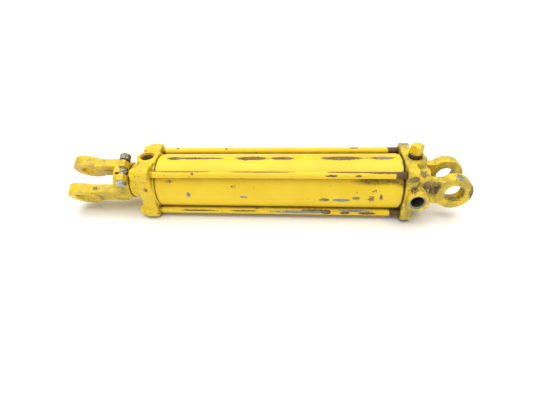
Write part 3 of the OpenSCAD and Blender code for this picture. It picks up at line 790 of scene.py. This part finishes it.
def make_clevis():
    fill_r = CLEVIS_THREAD_R + 2 * MM
    lug_fill_r = 7.5 * MM
    half_lug = (LUG_OUT - LUG_IN) / 2 - FILL_SHORT
    split_low = (SLOT_L + 3 * MM, -3 * MM, 10 * MM)
    split_high = (CLEVIS_L - 0.1 * MM, 3 * MM, 29 * MM)
    fills = pin_fills(CLEVIS)
    fills.append(flare(SLOT_L + 0.1 * MM, CLEVIS_L - FILL_SHORT, fill_r, fill_r, CLEVIS))
    fills.append(box_mesh("split", split_low, split_high, CLEVIS))
    for side in (-1, 1):
        middle = side * (LUG_IN + LUG_OUT) / 2
        rows = [(-half_lug, lug_fill_r), (half_lug, lug_fill_r)]
        fills.append(turned("lug", rows, 32, matrix=CLEVIS @ along_y(LUG_X, middle, LUG_Z)))
    bore_r = CLEVIS_THREAD_R + 0.05 * MM
    clamp_r = 5.8 * MM
    clamp_reach = 40 * MM
    seat_r = 9.6 * MM
    split_low = (SLOT_L + 4 * MM, -2 * MM, 5 * MM)
    split_high = (CLEVIS_L + 5 * MM, 2 * MM, 60 * MM)
    cutters = [pin_cutters(CLEVIS),
               turned("bore", [(SLOT_L - 2 * MM, bore_r), (CLEVIS_L + 2 * MM, bore_r)], 96, matrix=CLEVIS),
               box_mesh("split", split_low, split_high, CLEVIS),
               turned("clamp", [(-clamp_reach, clamp_r), (clamp_reach, clamp_r)], 40,
                      matrix=CLEVIS @ along_y(LUG_X, 0, LUG_Z))]
    for side in (-1, 1):
        rows = [(LUG_OUT - 0.25 * MM, seat_r), (LUG_OUT + 9 * MM, seat_r)]
        cutters.append(turned("seat", rows, 40, matrix=CLEVIS @ along_y(LUG_X, 0, LUG_Z, side)))
    mesh = cast("clevis_casting", "rod_clevis", fills, cutters)
    clevis = finished("clevis_casting", mesh, CLEVIS_PAINT, "rod", ["rod_clevis"])

    def at(x, y, z):
        return CLEVIS @ Vector((x * MM, y * MM, z * MM))

    # The darkening patches put painted shade where the clamp lugs meet the body and on the inner face of the
    # far ear between the ears; a light one darkens the near ear's outer face.
    patches = [(at(8, -26, 22), (9 * MM, 5 * MM, 4 * MM), 0.48, "bright"),
               (at(30, -24, 21), (10 * MM, 5 * MM, 3 * MM), 0.45, "bare"),
               (at(6, 26, 24), (9 * MM, 5 * MM, 4 * MM), 0.5, "bright"),
               (at(74, -12, 30), (8 * MM, 8 * MM, 8 * MM), 0.5, "shade_and_grime"),
               (at(66, 26, 20), (6 * MM, 6 * MM, 6 * MM), 0.5, "bare"),
               (at(44, 16, 4), (18 * MM, 4 * MM, 16 * MM), 0.42, "shade_and_grime"),
               (at(2, 16, 6), (12 * MM, 4 * MM, 16 * MM), 0.20, "shade_and_grime"),
               (at(40, -32, -2), (22 * MM, 3 * MM, 12 * MM), 0.16, "shade_and_grime"),
               (at(0, -34, 15), (18 * MM, 3 * MM, 2.0 * MM), 0.62, "bare")]
    set_wear(clevis, patches, edge=0.33)


# ---------------------------------------------------------------- hardware
def make_plug():
    collar_r = (plug_hi.y - plug_lo.y) / 2
    collar_l = 8 * MM
    depth = CAP_TOP_Z - plug_lo.z
    top = plug_hi.z - CAP_TOP_Z
    flats = 16 * MM
    rows = [(-depth, PORT_R - 1.4 * MM), (-depth + 1 * MM, PORT_R - 0.4 * MM), (-0.5 * MM, PORT_R - 0.1 * MM)]
    rim_r = collar_r - 0.05 * MM
    rows += thread_rows(0.2 * MM, collar_l - 2.2 * MM, collar_r - 0.25 * MM, rim_r, 0.85 * MM, PIPE_PITCH)
    rows += [(collar_l - 1.9 * MM, rim_r), (collar_l - 0.8 * MM, rim_r),
             (collar_l - 0.3 * MM, collar_r - 0.5 * MM), (collar_l, collar_r - 1.4 * MM)]
    rows += head_rows(collar_l + 0.1 * MM, top, 4, flats, 10.2 * MM, False, True, 0.3 * MM)
    rows[-1] = (top, polygon_r(4, flats - 1.4 * MM, 7.4 * MM, 8.2 * MM))
    corner_to_flat = 45
    turn = Matrix.Rotation(math.radians(PLUG_TURN + corner_to_flat), 4, "X")
    mesh = turned("pipe_plug", rows, 112, matrix=along_z(CAP_PORT.x, 0, CAP_TOP_Z) @ turn)
    plug = finished("pipe_plug", mesh, PLUG_PAINT, "barrel", ["port_plug"], 32)
    collar = (CAP_PORT.x, 0, CAP_TOP_Z + collar_l * 0.35)
    collar_half = (30 * MM, 30 * MM, collar_l * 0.62)
    crown = (CAP_PORT.x + 5 * MM, 0, plug_hi.z - 1 * MM)
    # The thread collar under the square head is bare and darkened, as soiling in the thread and as painted
    # shade under the head.
    patches = [(collar, collar_half, 1.0, "bare"), (collar, collar_half, 0.5, "shade_and_grime"),
               (crown, (8 * MM, 10 * MM, 6 * MM), 0.40, "bright")]
    set_wear(plug, patches, edge=0.55, rounds=1, edge_full=0.2)


def make_clamp():
    flats = 15.9 * MM
    head_l = 7.5 * MM
    r = 5.5 * MM
    washer_l = 2.6 * MM
    nut_l = 9.5 * MM
    nut_x = LUG_OUT + washer_l
    place = CLEVIS @ along_y(LUG_X, 0, LUG_Z)
    head = head_rows(-LUG_OUT - head_l, -LUG_OUT, 6, flats, flats * 0.57, True, False, 0.4 * MM)
    end = nut_x + nut_l + 2 * MM
    rows = head + [(-LUG_OUT + 0.01 * MM, r)]
    rows += even_rows(-LUG_OUT + 1 * MM, 6 * MM, r, 2 * MM)
    rows += thread_rows(6.5 * MM, end - 0.8 * MM, r, r, 0.7 * MM, TIE_PITCH)
    rows += [(end - 0.5 * MM, r * 0.88), (end, r * 0.78)]
    bolt = finished("clamp_bolt_bar", turned("clamp_bolt_bar", rows, 96, matrix=place), ZINC_PAINTED, "rod",
                    ["clamp_bolt"], 30)
    set_wear(bolt, [], edge=0.5, base=1.0, rounds=1, edge_full=0.2)
    rows = head_rows(nut_x, nut_x + nut_l, 6, flats, flats * 0.565, True, True, 0.4 * MM)
    turn = Matrix.Rotation(0.35, 4, "X")
    mesh = turned("clamp_nut_hex", rows, 96, inner_r=r + 0.05 * MM, matrix=place @ turn)
    nut = finished("clamp_nut_hex", mesh, ZINC_PAINTED, "rod", ["clamp_nut"], 30)
    set_wear(nut, [], edge=0.5, base=0.7, rounds=1, edge_full=0.2)
    mesh = lock_washer(LUG_OUT, washer_l, r + 0.2 * MM, 8.9 * MM, place)
    washer = finished("clamp_split_washer", mesh, ZINC_PAINTED, "rod", ["clamp_lock_washer"],
                      30)
    set_wear(washer, [], edge=0.3, base=0.8)


def lock_washer(x0, length, r_in, r_out, matrix):
    """A split ring whose two ends stand a little apart along the bolt."""
    segments = 72
    gap = math.radians(12)
    tall = length - 0.5 * MM
    points = []
    for i in range(segments + 1):
        t = i / segments
        angle = gap / 2 + (2 * math.pi - gap) * t
        lift = x0 + (length - tall) * t
        for x, r in ((lift, r_in), (lift, r_out), (lift + tall, r_out), (lift + tall, r_in)):
            points.append((x, r * math.cos(angle), r * math.sin(angle)))
    faces = []
    for i in range(segments):
        for k in range(4):
            a, b = i * 4 + k, i * 4 + (k + 1) % 4
            faces.append((a, b, b + 4, a + 4))
    last = segments * 4
    faces += [(3, 2, 1, 0), (last, last + 1, last + 2, last + 3)]
    return make_mesh("clamp_split_washer", points, faces, matrix)


def make_rod():
    piston_lo, piston_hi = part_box("piston")
    front_x, rear_x = piston_lo.x, piston_hi.x
    stud_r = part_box("piston_o_ring")[1].z - 3 * MM
    neck_x = clevis_hi.x
    neck_r = CLEVIS_THREAD_R - 0.4 * MM
    rows = [(rod_lo.x, CLEVIS_THREAD_R * 0.86), (rod_lo.x + 1.4 * MM, CLEVIS_THREAD_R * 0.95)]
    rows += thread_rows(rod_lo.x + 1.6 * MM, neck_x - 2 * MM, CLEVIS_THREAD_R, CLEVIS_THREAD_R,
                        1.1 * MM, 2.1 * MM)
    rows += [(neck_x - 1 * MM, neck_r), (neck_x, neck_r),
             (neck_x + 0.02 * MM, ROD_R - 0.8 * MM), (neck_x + 0.8 * MM, ROD_R)]
    rows += even_rows(neck_x + 2 * MM, front_x - 1 * MM, ROD_R, 12 * MM)
    rows += [(front_x - 0.02 * MM, ROD_R - 0.6 * MM), (front_x, stud_r)]
    rows += even_rows(front_x + 1 * MM, rear_x + 1 * MM, stud_r, 6 * MM)
    rows += thread_rows(rear_x + 1.5 * MM, rod_hi.x - 1.8 * MM, stud_r, stud_r, 0.9 * MM, TIE_PITCH)
    rows += [(rod_hi.x, stud_r - 1.8 * MM)]
    mesh = turned("chromed_rod", rows, 96)
    finished("chromed_rod", mesh, CHROME, "rod", ["piston_rod"], 30)


def dress_inner_nodes():
    """The inner pieces keep their CAD shape, with softened edges and their own finish."""
    finishes = {"piston": IRON, "piston_lock_nut": IRON, "rod_wiper": NITRILE, "rod_seal": URETHANE,
                "rod_bushing": NYLON, "piston_seal": URETHANE, "piston_wear_band": NYLON,
                "head_o_ring": NITRILE, "cap_o_ring": NITRILE, "piston_o_ring": NITRILE,
                "head_backup_ring": NYLON}
    for name, material in finishes.items():
        thing = cad_nodes[name]
        thing.data.materials.clear()
        thing.data.materials.append(material)
        bevel = thing.modifiers.new("edges", "BEVEL")
        bevel.width = 0.25 * MM
        bevel.segments = 2
        bevel.limit_method = "ANGLE"


# ---------------------------------------------------------------- studio
def make_floor():
    size = 6.0
    thickness = 0.02
    floor_z = cad_bounds[0][2]
    mesh = box_mesh("floor", (-size, -size, floor_z - thickness), (size, size, floor_z))
    floor = make_object("floor", mesh)
    s = Shader("paper_floor")
    fibre = s.noise(3 * MM, 4.0)
    colour = s.mix(s.step(s.noise(0.4, 2.0), 0.3, 0.7), (0.93, 0.93, 0.915), (0.95, 0.95, 0.94))
    mesh.materials.append(s.close(colour, 0.85, s.math("MULTIPLY", fibre, 0.03), specular=0.2))


def soft_light(name, place, target, size, power):
    data = bpy.data.lights.new(name, "AREA")
    data.shape = "DISK"
    data.size = size
    data.energy = power
    lamp = bpy.data.objects.new(name, data)
    bpy.context.scene.collection.objects.link(lamp)
    lamp.location = place
    lamp.rotation_euler = (Vector(target) - Vector(place)).to_track_quat("-Z", "Y").to_euler()


def wide_sky(name, strength, spread, lean):
    """A broad overhead light, the same all over the floor; lean moves it back from the camera, in degrees."""
    data = bpy.data.lights.new(name, "SUN")
    data.energy = strength
    data.angle = math.radians(spread)
    lamp = bpy.data.objects.new(name, data)
    bpy.context.scene.collection.objects.link(lamp)
    lamp.rotation_euler = (math.radians(-lean), 0, 0)


def make_studio():
    scene = bpy.context.scene
    make_floor()
    middle = ((cad_bounds[0][0] + cad_bounds[1][0]) / 2, 0, 0)
    wide_sky("overhead", strength=3.3, spread=70, lean=6)
    soft_light("front", (middle[0] - 0.2, -1.8, 0.8), middle, 1.2, 5)
    world = bpy.data.worlds.new("white_room")
    scene.world = world
    world.use_nodes = True
    world.node_tree.nodes["Background"].inputs["Color"].default_value = (1.0, 1.0, 0.99, 1.0)
    world.node_tree.nodes["Background"].inputs["Strength"].default_value = 0.38
    scene.view_settings.view_transform = "Standard"


def make_camera():
    """Stands in front, above and a little towards the cap, turned towards the rod and tipped slightly."""
    place = (-0.2334, -0.5049, 0.3608)
    data = bpy.data.cameras.new("camera")
    data.sensor_width = 36.0
    data.lens = 24.66
    camera = bpy.data.objects.new("camera", data)
    bpy.context.scene.collection.objects.link(camera)
    down, turn, tip = math.radians(38.41), math.radians(-7.33), math.radians(-3.97)
    forward = Vector((math.sin(turn) * math.cos(down), math.cos(turn) * math.cos(down), -math.sin(down)))
    level = Vector((math.cos(turn), -math.sin(turn), 0))
    above = level.cross(forward)
    right = math.cos(tip) * level + math.sin(tip) * above
    up = right.cross(forward)
    facing = Matrix((right, up, -forward)).transposed()
    camera.matrix_world = Matrix.Translation(place) @ facing.to_4x4()
    bpy.context.scene.camera = camera


make_camera()
make_studio()
make_barrel()
make_tie_rods()
make_head()
make_cap()
make_clevis()
make_plug()
make_clamp()
make_rod()
dress_inner_nodes()

bpy.context.view_layer.update()
